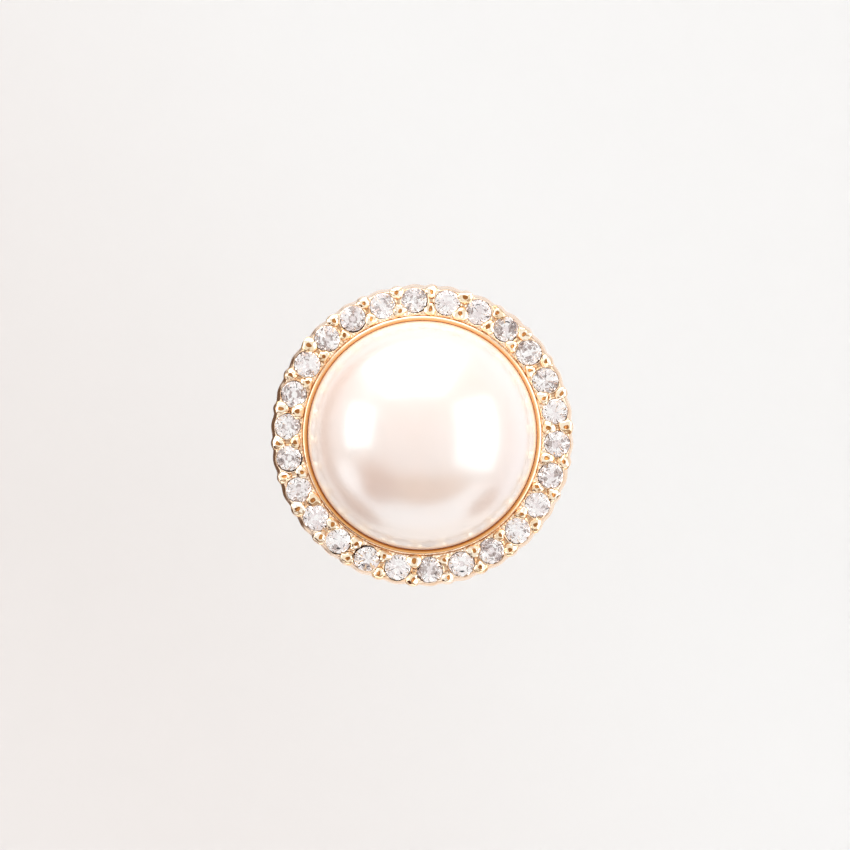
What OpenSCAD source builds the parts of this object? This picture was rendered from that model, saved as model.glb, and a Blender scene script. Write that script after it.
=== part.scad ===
// Clip-on button earring: a half-round pearl in a plain bezel, ringed by small cut
// stones that are held by shared beads, on a bent spring clip.
// Millimetres. The face looks along -Y and +Z is up. The origin is the middle of the
// gap that takes the ear lobe, on the axis of the pearl.

/* [Pearl] */
// Diameter of the half-round pearl
pearl_d = 18; // [17:0.5:20]
// Depth of the pearl's widest circle below the face of the setting
pearl_sink = 1; // [0.8:0.1:1.2]
// Depth of the pearl's flat back below its widest circle
pearl_skirt = 0.4; // [0.2:0.1:0.5]

/* [Stones] */
// Number of stones round the pearl
stone_count = 26; // [20:1:26]
// Diameter of a stone at its girdle
stone_d = 2; // [1.7:0.1:2]
// Turn of the first stone from the top, against the clock, in degrees
ring_turn = 3.2; // [0:0.1:13.8]
// Largest lean of a stone in its seat, in degrees
stone_lean = 1.8; // [0:0.2:2]

/* [Setting] */
// Thickness of the setting from its flat back to its face
setting_t = 2.4; // [2.2:0.1:3]
// Thickness of the bezel that holds the pearl
bezel_w = 0.33; // [0.3:0.01:0.4]
// Height of the rounded bezel above the face
bezel_h = 0.31; // [0.25:0.01:0.35]
// Width of the ledge between the bezel and the stones
ledge_w = 0.2; // [0.18:0.01:0.3]
// Wall round a stone's seat at the outer edge
lobe_w = 0.19; // [0.16:0.01:0.22]
// Diameter of the beads beside the bezel
inner_bead_d = 0.84; // [0.8:0.02:0.9]
// Diameter of the beads at the outer edge
outer_bead_d = 0.84; // [0.7:0.02:0.86]

/* [Clip] */
// Gap that takes the ear lobe
lobe_gap = 5; // [4.6:0.1:6]
// Thickness of the clip's spring sheet
clip_t = 0.7; // [0.6:0.05:0.9]
// Diameter of the clip's two round pads
pad_d = 9.4; // [8:0.2:10]
// Width of the clip's neck and bend
neck_w = 4.2; // [3:0.2:5]

/* [Hidden] */
$fn = 96;
// Clearance between a piece and the seat that holds it
fit = 0.05;
// Overlap that makes a cut run past a face
past = 1;

pearl_r = pearl_d / 2;
bezel_ro = pearl_r + bezel_w;
bezel_round = 0.19;
bezel_root = 0.2;

stone_r = stone_d / 2;
seat_r = stone_r + fit;
stone_circle = bezel_ro + ledge_w + stone_r;
pitch = 360 / stone_count;
girdle_z = -0.12;
girdle_t = 0.05 * stone_d;
crown_h = 0.17 * stone_d;
pavilion_h = 0.5 * stone_d;
table_r = 0.56 * stone_r;
star_r = 0.77 * stone_r;
lower_r = 0.42 * stone_r;
seat_shoulder = girdle_z - girdle_t - fit;
seat_floor = seat_shoulder - pavilion_h;
seat_tip_r = 0.12;

lobe_r = seat_r + lobe_w;
// The plain wall between the lobes lies this far inside their crests
scallop = 0.16;
wall_r = stone_circle + lobe_r - scallop;
rail_r = wall_r + 0.06;
rail_h = 0.6;
// Bevel along the edges of the setting, and the height at which its ribs and lobes start
edge = 0.12;
rib_z = -setting_t + rail_h / 2;
// Groove left between the bezel and the inner beads
bead_gap = 0.08;
// How far the outer beads stand out of the wall
bead_reach = 0.13;
// Depth of a bead's middle below the face
bead_sink = 0.1;
inner_bead_r = inner_bead_d / 2;
outer_bead_r = outer_bead_d / 2;
inner_bead_circle = bezel_ro + bead_gap + inner_bead_r;
outer_bead_circle = wall_r + bead_reach - outer_bead_r;
column_r = outer_bead_r - 0.04;

// Distance from the face of the setting to the middle of the lobe gap
face_depth = setting_t + clip_t + lobe_gap / 2;
pad_r = pad_d / 2;
shoulder_x = 0.76 * pad_r;
shoulder_z = -0.6 * pad_r;
neck_z = -pad_r - 1;
bend_z = -pad_r - 1.9;
// Radius, start and angle of the arc that turns the leaf's top away from the lobe
lip_r = 5;
lip_z = pad_r / 2;
lip_angle = 40;

// Name of one stone's node, numbered clockwise from the top as the face is seen
function stone_name(i) = str("stone_", i < 10 ? "0" : "", i);

// Turn of a stone about its own axis, and the direction and size of its lean
function stone_turn(i) = (i * 137.5) % 45;
function lean_way(i) = (i * 71) % 360;
function lean_size(i) = stone_lean * sin(i * 97);

// Points on a circle of radius r at height z, the first one at an angle of start
function circle_points(n, r, z, start = 0) =
    [for (k = [0:n - 1]) [r * cos(start + 360 * k / n), r * sin(start + 360 * k / n), z]];

// Height at radius r on a facet that leans from [r0, z0] to [r1, z1], half a step round
function facet_z(r, r0, z0, r1, z1) = z0 + (z1 - z0) * (r * cos(22.5) - r0) / (r1 - r0);

// Moves a shape from the frame of the face, with +Z out of it and +Y up, to the part's own
module from_face() {
    translate([0, -face_depth, 0]) rotate([90, 0, 0]) children();
}

// Moves a shape to a circle round the pearl, at stone i or at i + 0.5 for the gap after it
module on_circle(i, r) {
    rotate([0, 0, 90 + ring_turn - (i - 1) * pitch]) translate([r, 0, 0]) children();
}

// A ball cut off flat just behind its widest circle
module pearl() {
    color("seashell") from_face() translate([0, 0, -pearl_sink]) intersection() {
        sphere(r = pearl_r, $fn = 200);
        translate([-pearl_d, -pearl_d, -pearl_skirt]) cube([2 * pearl_d, 2 * pearl_d, pearl_d]);
    }
}

// Round brilliant with its girdle's top at height 0: table, 8 stars, 8 kites, 16 halves
module brilliant() {
    star_z = facet_z(star_r, table_r, crown_h, stone_r, 0);
    lower_z = facet_z(lower_r, stone_r, -girdle_t, 0, -girdle_t - pavilion_h);
    points = concat(
        circle_points(8, table_r, crown_h),
        circle_points(8, star_r, star_z, 22.5),
        circle_points(16, stone_r, 0),
        circle_points(16, stone_r, -girdle_t),
        circle_points(8, lower_r, lower_z, 22.5),
        [[0, 0, -girdle_t - pavilion_h]]
    );
    table = 0;
    star = 8;
    top = 16;
    under = 32;
    lower = 48;
    culet = 56;
    faces = concat(
        [[for (k = [7:-1:0]) table + k]],
        [for (k = [0:7]) [table + k, table + (k + 1) % 8, star + k]],
        [for (k = [0:7]) [table + k, star + k, top + 2 * k, star + (k + 7) % 8]],
        [for (k = [0:7]) [star + k, top + 2 * k + 1, top + 2 * k]],
        [for (k = [0:7]) [star + k, top + (2 * k + 2) % 16, top + 2 * k + 1]],
        [for (k = [0:15]) [top + k, top + (k + 1) % 16, under + (k + 1) % 16, under + k]],
        [for (k = [0:7]) [lower + k, under + 2 * k, under + 2 * k + 1]],
        [for (k = [0:7]) [lower + k, under + 2 * k + 1, under + (2 * k + 2) % 16]],
        [for (k = [0:7]) [culet, lower + (k + 7) % 8, under + 2 * k, lower + k]]
    );
    polyhedron(points, faces);
}

module stone(i) {
    color("aliceblue") from_face() on_circle(i, stone_circle) translate([0, 0, girdle_z])
        rotate([0, 0, lean_way(i)]) rotate([0, lean_size(i), 0]) rotate([0, 0, stone_turn(i)])
            brilliant();
}

// Half section of the setting: back plate, stone ring, rail and rounded bezel
module setting_section() {
    difference() {
        union() {
            polygon([
                [0, -setting_t], [rail_r - edge, -setting_t], [rail_r, -setting_t + edge],
                [rail_r, -setting_t + rail_h - edge], [wall_r, -setting_t + rail_h],
                [wall_r, -edge], [wall_r - edge, 0], [0, 0]
            ]);
            translate([pearl_r - bezel_root, -bezel_root])
                square([bezel_root + bezel_w, bezel_root + bezel_h - bezel_round]);
            translate([bezel_ro - bezel_round, bezel_h - bezel_round]) circle(r = bezel_round);
        }
        intersection() {
            translate([0, -pearl_sink]) circle(r = pearl_r + fit, $fn = 200);
            translate([-past, -pearl_sink - pearl_skirt - fit]) square([pearl_r + 2 * past, pearl_r]);
        }
    }
}

// Cup of one stone: the wall that bulges out of the ring's edge round the seat
module lobe() {
    translate([0, 0, rib_z]) cylinder(r = lobe_r, h = -edge - rib_z);
    translate([0, 0, -edge]) cylinder(r1 = lobe_r, r2 = lobe_r - edge / 2, h = edge);
}

// Hole of one stone: a round mouth over a cone for the stone's pointed back
module seat() {
    translate([0, 0, seat_shoulder]) cylinder(r = seat_r, h = past - seat_shoulder);
    translate([0, 0, seat_floor]) cylinder(r1 = seat_tip_r, r2 = seat_r, h = seat_shoulder - seat_floor);
}

module bead(r) {
    translate([0, 0, -bead_sink]) sphere(r = r, $fn = 32);
}

// Rib down the outer wall under an outer bead
module column() {
    translate([0, 0, rib_z]) cylinder(r = column_r, h = -bead_sink - rib_z, $fn = 32);
}

module setting() {
    color("gold") from_face() {
        difference() {
            union() {
                rotate_extrude($fn = 200) setting_section();
                for (i = [1:stone_count]) {
                    on_circle(i, stone_circle) lobe();
                    on_circle(i + 0.5, outer_bead_circle) column();
                    on_circle(i + 0.5, outer_bead_circle) bead(outer_bead_r);
                    on_circle(i + 0.5, inner_bead_circle) bead(inner_bead_r);
                }
            }
            for (i = [1:stone_count]) on_circle(i, stone_circle) seat();
        }
    }
}

// Side view of the clip, with depth across and height up: foot, bend, leaf and lip
module clip_section() {
    half = lobe_gap / 2;
    far = 2 * pad_d;
    translate([-half - clip_t, bend_z]) square([clip_t, pad_r - bend_z]);
    translate([half, bend_z]) square([clip_t, lip_z - bend_z]);
    translate([0, bend_z]) difference() {
        circle(r = half + clip_t);
        circle(r = half);
        translate([-lobe_gap, 0]) square([2 * lobe_gap, lobe_gap]);
    }
    translate([half + clip_t + lip_r, lip_z]) difference() {
        circle(r = lip_r + clip_t);
        circle(r = lip_r);
        translate([-far, -far]) square([2 * far, far]);
        rotate(180 - lip_angle) translate([-far, -far]) square([2 * far, far]);
    }
}

// Front view of the clip: a round pad on a tapered neck
module clip_outline() {
    circle(d = pad_d);
    polygon([
        [-shoulder_x, shoulder_z], [-neck_w / 2, neck_z], [-neck_w / 2, bend_z - lobe_gap],
        [neck_w / 2, bend_z - lobe_gap], [neck_w / 2, neck_z], [shoulder_x, shoulder_z]
    ]);
}

module ear_clip() {
    color("goldenrod") intersection() {
        rotate([90, 0, 90]) linear_extrude(2 * pad_d, center = true) clip_section();
        rotate([90, 0, 0]) linear_extrude(4 * pad_d, center = true) clip_outline();
    }
}

setting();
pearl();
ear_clip();
for (i = [1:stone_count]) stone(i);
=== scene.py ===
"""Looks of a clip-on earring: a half-round pearl in a plated ring of small cut stones.

Sizes of pieces are millimetres in the frame of the face, whose x points right, whose y
points up and whose z points out of the face. Sizes in finishes are millimetres in the part's
own frame, whose y points away behind the face and whose z points up. Meshes are metres.
"""

import logging
import math
from dataclasses import dataclass, field
from enum import Enum
from typing import Any, Sequence

import bmesh
import bpy
from bpy.types import ID, Material, Mesh, NodeSocket, NodeTree, Object
from mathutils import Matrix, Vector


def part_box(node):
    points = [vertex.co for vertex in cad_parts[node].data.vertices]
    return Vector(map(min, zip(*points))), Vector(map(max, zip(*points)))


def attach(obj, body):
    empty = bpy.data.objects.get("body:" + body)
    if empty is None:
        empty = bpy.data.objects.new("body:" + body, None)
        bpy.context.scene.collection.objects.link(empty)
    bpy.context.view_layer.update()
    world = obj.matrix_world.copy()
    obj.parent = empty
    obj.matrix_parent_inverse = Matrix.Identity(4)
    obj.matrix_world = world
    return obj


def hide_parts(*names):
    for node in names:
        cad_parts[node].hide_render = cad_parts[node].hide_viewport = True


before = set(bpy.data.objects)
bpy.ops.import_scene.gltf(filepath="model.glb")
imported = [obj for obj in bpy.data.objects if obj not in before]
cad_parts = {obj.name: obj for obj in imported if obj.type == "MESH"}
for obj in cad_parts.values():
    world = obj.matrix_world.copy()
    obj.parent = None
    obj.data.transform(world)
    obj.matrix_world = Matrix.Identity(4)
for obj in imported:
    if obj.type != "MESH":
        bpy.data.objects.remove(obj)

MM = 0.001
MERGE = 1e-6
BODY = "root"
DRIFT = 0.25
SECOND = "second_finish"
STONE_NODES = tuple(sorted(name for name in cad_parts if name.startswith("stone_")))

Point = tuple[float, float, float]
Colour = tuple[float, float, float]
Pair = tuple[float, float]

log = logging.getLogger("earring")


class Slot(Enum):
    """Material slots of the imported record."""

    SETTING = "plated_setting"
    CLIP = "plated_clip"
    PEARL = "pearl"
    STONE = "stone"


def hump(value: float, width: float) -> float:
    """Height of a soft round hump of 1, which fades over the width."""
    return math.exp(-((value / width) ** 2))


def soft_max(a: float, b: float, blend: float) -> float:
    """The larger of two numbers, with a fillet of about the size of blend where they meet."""
    return (a + b + math.hypot(a - b, blend)) / 2.0


def rounding(distance: float, size: float) -> float:
    """How far a rounded edge of this size has dropped at a distance from it."""
    lost = size - min(size, max(0.0, distance))
    return size - math.sqrt(size**2 - lost**2)


def gathered(k: int, count: int) -> float:
    """Share of a way that is done at step k, with closer steps towards both ends."""
    return (1.0 - math.cos(math.pi * k / count)) / 2.0


def polar(radius: float, angle: float, height: float = 0.0) -> Point:
    """A point from its radius, its angle in radians and its height."""
    return (radius * math.cos(angle), radius * math.sin(angle), height)


def circle_points(radius: float, steps: int, height: float, start: float = 0.0) -> list[Point]:
    """Points on a circle, the first one at the start angle in radians."""
    return [polar(radius, start + math.tau * k / steps, height) for k in range(steps)]


# Node trees


class Value:
    """A node's output that takes part in Python expressions, each of which adds Math nodes."""

    def __init__(self, graph: "Graph", socket: NodeSocket | None) -> None:
        """Keeps the graph that new nodes go to and the output, none for an end node."""
        self.graph = graph
        self.socket = socket

    def _math(self, operation: str, *terms: Any) -> "Value":
        """Adds a Math node for an operation, with its inputs in order."""
        return self.graph.add("ShaderNodeMath", {"operation": operation}, dict(enumerate(terms)))

    def __add__(self, other: Any) -> "Value":
        """Sum."""
        return self._math("ADD", self, other)

    def __sub__(self, other: Any) -> "Value":
        """Difference."""
        return self._math("SUBTRACT", self, other)

    def __rsub__(self, other: Any) -> "Value":
        """Difference, with the number first."""
        return self._math("SUBTRACT", other, self)

    def __mul__(self, other: Any) -> "Value":
        """Product."""
        return self._math("MULTIPLY", self, other)

    def __truediv__(self, other: Any) -> "Value":
        """Quotient."""
        return self._math("DIVIDE", self, other)

    def __rtruediv__(self, other: Any) -> "Value":
        """Quotient, with the number first."""
        return self._math("DIVIDE", other, self)

    __radd__ = __add__
    __rmul__ = __mul__

    def cos(self) -> "Value":
        """Cosine of an angle in radians."""
        return self._math("COSINE", self)

    def sin(self) -> "Value":
        """Sine of an angle in radians."""
        return self._math("SINE", self)

    def root(self) -> "Value":
        """Square root."""
        return self._math("SQRT", self)

    def eased(self, low: float, high: float, start: float = 0.0, end: float = 1.0) -> "Value":
        """Eases from one number to another as this value goes from low to high.

        Args:
            low: Value at which the result is start.
            high: Value at which the result is end.
            start: First result.
            end: Last result.

        Returns:
            The eased value.
        """
        return self.graph.add(
            "ShaderNodeMapRange",
            {"interpolation_type": "SMOOTHSTEP"},
            {"Value": self, "From Min": low, "From Max": high, "To Min": start, "To Max": end},
        )


class Graph:
    """A shader or geometry node tree in the making."""

    def __init__(self, tree: NodeTree) -> None:
        """Empties the tree and keeps it."""
        self.tree = tree
        tree.nodes.clear()

    @staticmethod
    def _pick(sockets: Any, key: int | str) -> NodeSocket:
        """Finds an input or output of a node by its place, its identifier or its name."""
        named = {socket.identifier: socket for socket in sockets}
        return named[key] if key in named else sockets[key]

    def add(
        self,
        kind: str,
        settings: dict[str, Any] | None = None,
        inputs: dict[int | str, Any] | None = None,
        out: int | str = 0,
    ) -> Value:
        """Adds a node, sets it and links it.

        Args:
            kind: Blender's type name of the node.
            settings: Its properties, which are set first.
            inputs: Values, colours or links of its sockets.
            out: The output that is wanted.

        Returns:
            That output.
        """
        node = self.tree.nodes.new(kind)
        for name, setting in (settings or {}).items():
            setattr(node, name, setting)
        for key, value in (inputs or {}).items():
            socket = self._pick(node.inputs, key)
            if isinstance(value, Value):
                self.tree.links.new(value.socket, socket)
            elif isinstance(value, tuple) and socket.type == "RGBA":
                socket.default_value = (*value, 1.0)
            else:
                socket.default_value = value
        return Value(self, self._pick(node.outputs, out) if len(node.outputs) else None)

    def mix(self, factor: Any, first: Any, second: Any) -> Value:
        """Mixes two colours by the share of the second one."""
        sockets = {"Factor_Float": factor, "A_Color": first, "B_Color": second}
        return self.add("ShaderNodeMix", {"data_type": "RGBA"}, sockets, "Result_Color")

    def vector(self, operation: str, first: Any, second: Any) -> Value:
        """Adds a Vector Math node.

        Args:
            operation: Blender's name of the operation.
            first: A vector or a link.
            second: The other vector, or the factor of a scaling.

        Returns:
            The resulting vector, or the number that a dot product gives.
        """
        sockets = {0: first, "Scale" if operation == "SCALE" else 1: second}
        out = 1 if operation == "DOT_PRODUCT" else 0
        return self.add("ShaderNodeVectorMath", {"operation": operation}, sockets, out)

    def millimetres(self) -> Value:
        """Object coordinates, scaled so that 1 is a millimetre."""
        return self.vector("SCALE", self.add("ShaderNodeTexCoord", out="Object"), 1.0 / MM)

    def noise(self, where: Value, grain: float, detail: float = 2.0) -> Value:
        """Soft noise from 0 to 1, with its coordinates and its grain in millimetres."""
        sockets = {"Vector": where, "Scale": 1.0 / grain, "Detail": detail}
        return self.add("ShaderNodeTexNoise", {}, sockets)

    def axis(self, where: Value, name: str) -> Value:
        """One coordinate, X, Y or Z, of a vector."""
        return self.add("ShaderNodeSeparateXYZ", {}, {0: where}, name)

    def radius(self, where: Value, across: str = "XZ") -> Value:
        """Distance from the axis, measured across two of the three directions."""
        a, b = (self.axis(where, name) for name in across)
        return (a * a + b * b).root()

    def bump(self, height: Value, depth: float) -> Value:
        """Surface normal of a relief from 0 to 1 whose depth is in millimetres."""
        return self.add("ShaderNodeBump", {}, {"Height": height, "Distance": depth * MM})


def new_material(name: str) -> tuple[Material, Graph]:
    """Starts a material.

    Args:
        name: Its name.

    Returns:
        The material and its empty graph.
    """
    material = bpy.data.materials.new(name)
    material.use_nodes = True
    return material, Graph(material.node_tree)


def principled(graph: Graph, sockets: dict[int | str, Any]) -> None:
    """Ends a graph in a Principled shader with these sockets set."""
    shader = graph.add("ShaderNodeBsdfPrincipled", {}, sockets)
    graph.add("ShaderNodeOutputMaterial", {}, {"Surface": shader})


# Finishes


@dataclass(frozen=True)
class PaintedLightBand:
    """Painted light and shade on the front inside a radius: its colour goes from the shaded lower
    side of the ring to its lit upper side.
    """

    radius: float
    # Colours of the shaded lower side and of the lit upper side.
    low: Colour
    high: Colour
    share: float = 1.0
    fade: float = 0.1


@dataclass(frozen=True)
class GoldPlate:
    """Pale gold plate, paler where it is rubbed, with painted shade that makes it darker and warmer
    in its recesses.

    Painted shade in the recesses, painted shade as veins in the low places, painted bands of light
    and shade at the bezel and painted shade on the outer wall belong to the front of the part. Spans
    are values of Y, or of a noise from 0 to 1, between which a colour fades in.
    """

    name: str
    colour: Colour = (0.88, 0.62, 0.41)
    rubbed: Colour = (0.93, 0.74, 0.57)
    patch: float = 1.6
    patch_span: Pair = (0.35, 0.7)
    front: Pair = (-3.85, -4.15)
    # Painted shade: the colour that the recesses are darkened towards, where it fades in and how
    # strongly.
    recess_shade: Colour = (0.50, 0.26, 0.11)
    recess_shade_span: Pair = (-5.62, -5.42)
    recess_shade_share: float = 0.0
    # Painted shade: dark orange-brown veins in the low places of the face.
    vein_shade: float = 0.0
    vein_shade_colour: Colour = (0.50, 0.23, 0.08)
    vein_shade_span: Pair = (-5.67, -5.57)
    vein: float = 0.34
    vein_span: Pair = (0.5, 0.6)
    # Painted bands of light and shade, with the direction towards their lit side.
    bands: tuple[PaintedLightBand, ...] = ()
    lit_side: Point = (0.35, 0.0, 0.94)
    lit_side_span: Pair = (-7.0, 7.0)
    # Painted shade on the outer wall below the face, laid together with the bands.
    wall: Pair = (11.45, 11.53)
    wall_shade_span: Pair = (-5.5, -5.1)
    wall_shade_colour: Colour = (0.76, 0.51, 0.29)
    wall_shade_share: float = 0.9
    roughness: float = 0.16
    spread: float = 0.16
    grain: float = 0.16
    relief: float = 0.006
    patch_relief: float = 0.6
    relief_behind: float = 1.0

    def material(self) -> Material:
        """Builds the material.

        Returns:
            The material.
        """
        material, graph = new_material(self.name)
        where = graph.millimetres()
        y = graph.axis(where, "Y")
        patches = graph.noise(where, self.patch)
        fine = graph.noise(where, self.grain, detail=3.0)
        front = y.eased(*self.front)
        # Painted shade: the low places of the front turn darker and warmer.
        depth = y.eased(*self.recess_shade_span) * front
        tone = graph.mix(patches.eased(*self.patch_span), self.colour, self.rubbed)
        tone = graph.mix(depth * self.recess_shade_share, tone, self.recess_shade)
        # Painted shade, broken into veins, in the low places of the front.
        if self.vein_shade:
            low = y.eased(*self.vein_shade_span) * front
            veins = graph.noise(where, self.vein, detail=1.0).eased(*self.vein_span) * low
            tone = graph.mix(veins * self.vein_shade, tone, self.vein_shade_colour)
        if self.bands:
            tone = self._paint_light_and_shade(graph, where, front, tone)
        height = (fine + patches * self.patch_relief) * front.eased(0.0, 1.0, self.relief_behind)
        inputs = {
            "Base Color": tone,
            "Metallic": 1.0,
            "Roughness": fine * self.spread + (self.roughness - self.spread / 2.0),
            "Normal": graph.bump(height, self.relief),
        }
        principled(graph, inputs)
        return material

    def _paint_light_and_shade(self, graph: Graph, where: Value, front: Value, tone: Value) -> Value:
        """Lays the painted bands of light and shade and the wall's painted shade over the tone.

        Args:
            graph: The material's graph.
            where: Coordinates in millimetres.
            front: Share of the front, 0 or 1.
            tone: The colour so far.

        Returns:
            The new colour.
        """
        radius = graph.radius(where)
        # How far towards the lit upper side a point lies.
        side = graph.vector("DOT_PRODUCT", where, self.lit_side).eased(*self.lit_side_span)
        for band in self.bands:
            inside = radius.eased(band.radius, band.radius - band.fade) * front
            tone = graph.mix(inside * band.share, tone, graph.mix(side, band.low, band.high))
        y = graph.axis(where, "Y")
        # Painted shade on the outer wall, which draws a dark line round the edge.
        wall = radius.eased(*self.wall) * y.eased(*self.wall_shade_span) * front
        return graph.mix(wall * self.wall_shade_share, tone, self.wall_shade_colour)


@dataclass(frozen=True)
class PearlCoat:
    """Cream pearl essence: a soft body colour under a satin lustre, with painted light: a paler rim,
    and a painted orange reflection of the bezel where the pearl meets it.
    """

    name: str = "pearl_coat"
    body: Colour = (0.745, 0.562, 0.478)
    blush: Colour = (0.755, 0.552, 0.458)
    cloud: float = 5.0
    cloud_span: Pair = (0.3, 0.7)
    overtone: Colour = (0.45, 0.86, 1.0)
    # Painted light: a paler colour on the pearl's steep rim, where it mirrors the darker ring.
    edge: Colour = (0.95, 0.79, 0.70)
    edge_span: Pair = (8.0, 8.5)
    # Painted reflection of the orange bezel round the pearl's foot.
    bezel_reflection: Colour = (0.96, 0.56, 0.30)
    bezel_reflection_span: Pair = (8.65, 8.92)
    skin: float = 0.9
    roughness: float = 0.32
    spread: float = 0.05
    relief: float = 0.002

    def material(self) -> Material:
        """Builds the material.

        Returns:
            The material.
        """
        material, graph = new_material(self.name)
        where = graph.millimetres()
        clouds = graph.noise(where, self.cloud)
        skin = graph.noise(where, self.skin, detail=1.0)
        radius = graph.radius(where)
        tone = graph.mix(clouds.eased(*self.cloud_span), self.body, self.blush)
        # Painted light on the rim.
        tone = graph.mix(radius.eased(*self.edge_span), tone, self.edge)
        # Painted reflection of the bezel.
        tone = graph.mix(radius.eased(*self.bezel_reflection_span), tone, self.bezel_reflection)
        inputs = {
            "Base Color": tone,
            "IOR": 2.65,
            "Specular Tint": self.overtone,
            "Roughness": skin * self.spread + (self.roughness - self.spread / 2.0),
            "Normal": graph.bump(skin, self.relief),
            "Sheen Weight": 0.35,
            "Sheen Roughness": 0.4,
            "Sheen Tint": (0.95, 0.97, 1.0),
            "Coat Weight": 1.0,
            "Coat Roughness": 0.17,
            "Coat IOR": 1.7,
        }
        principled(graph, inputs)
        return material


@dataclass(frozen=True)
class CutGlass:
    """Clear polished glass with faint polish marks."""

    name: str = "cut_glass"
    tint: Colour = (0.99, 0.985, 0.98)
    clear: Colour = (1.0, 1.0, 1.0)
    mark: float = 0.12
    mark_span: Pair = (0.55, 0.8)
    mark_roughness: float = 0.06
    refraction: float = 1.58

    def material(self) -> Material:
        """Builds the material.

        Returns:
            The material.
        """
        material, graph = new_material(self.name)
        marks = graph.noise(graph.millimetres(), self.mark, detail=4.0)
        inputs = {
            "Base Color": graph.mix(marks, self.tint, self.clear),
            "Roughness": marks.eased(*self.mark_span, 0.0, self.mark_roughness),
            "Transmission Weight": 1.0,
            "IOR": self.refraction,
        }
        principled(graph, inputs)
        return material


@dataclass(frozen=True)
class SilverFoil:
    """Mirror foil behind a stone, a little crumpled, with dull flecks and a warm painted reflection
    of the gold seat at its girdle.
    """

    name: str = "silver_foil"
    bright: Colour = (1.0, 0.965, 0.94)
    dull: Colour = (0.93, 0.86, 0.84)
    dull_span: Pair = (0.45, 0.6)
    dark: Colour = (0.50, 0.415, 0.385)
    dark_span: Pair = (0.82, 0.89)
    dark_depth: Pair = (-4.6, -4.75)
    fleck: float = 0.42
    # Painted reflection: the foil at the girdle takes the warm colour of the gold seat round it.
    edge: Pair = (-5.38, -5.46)
    girdle_reflection_colour: Colour = (1.0, 0.80, 0.60)
    crease: float = 0.6
    roughness: Pair = (0.01, 0.05)
    relief: float = 0.012

    def material(self) -> Material:
        """Builds the material.

        Returns:
            The material.
        """
        material, graph = new_material(self.name)
        where = graph.millimetres()
        y = graph.axis(where, "Y")
        crease = graph.noise(where, self.crease, detail=1.0)
        sockets = {"Vector": where, "Scale": 1.0 / self.fleck}
        lot = graph.axis(graph.add("ShaderNodeTexVoronoi", {}, sockets, "Color"), "X")
        dark = lot.eased(*self.dark_span) * y.eased(*self.dark_depth)
        tone = graph.mix(lot.eased(*self.dull_span), self.bright, self.dull)
        tone = graph.mix(dark, tone, self.dark)
        least, spread = self.roughness
        inputs = {
            # Painted reflection of the gold seat at the girdle.
            "Base Color": graph.mix(y.eased(*self.edge), tone, self.girdle_reflection_colour),
            "Metallic": 1.0,
            "Roughness": crease * spread + least,
            "Normal": graph.bump(crease, self.relief),
        }
        principled(graph, inputs)
        return material


@dataclass(frozen=True)
class StudioPaper:
    """Plain pale paper of the floor and the wall, with painted shade that makes it a little darker
    on the left.
    """

    name: str = "studio_paper"
    colour: Colour = (0.685, 0.685, 0.68)
    shade: Colour = (0.635, 0.61, 0.595)
    shade_span: Pair = (-130.0, 70.0)
    rise: float = 0.6
    fibre: float = 1.5
    fibre_share: float = 6.0

    def material(self) -> Material:
        """Builds the material.

        Returns:
            The material.
        """
        material, graph = new_material(self.name)
        where = graph.millimetres()
        fibres = graph.noise(where, self.fibre, detail=3.0) * self.fibre_share
        # Painted shade: the paper darkens towards the left and the bottom.
        across = graph.axis(where, "X") + graph.axis(where, "Z") * self.rise + fibres
        inputs = {
            "Base Color": graph.mix(across.eased(*self.shade_span), self.shade, self.colour),
            "Roughness": 0.9,
            "Specular IOR Level": 0.0,
        }
        principled(graph, inputs)
        return material


# Meshes


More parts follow.
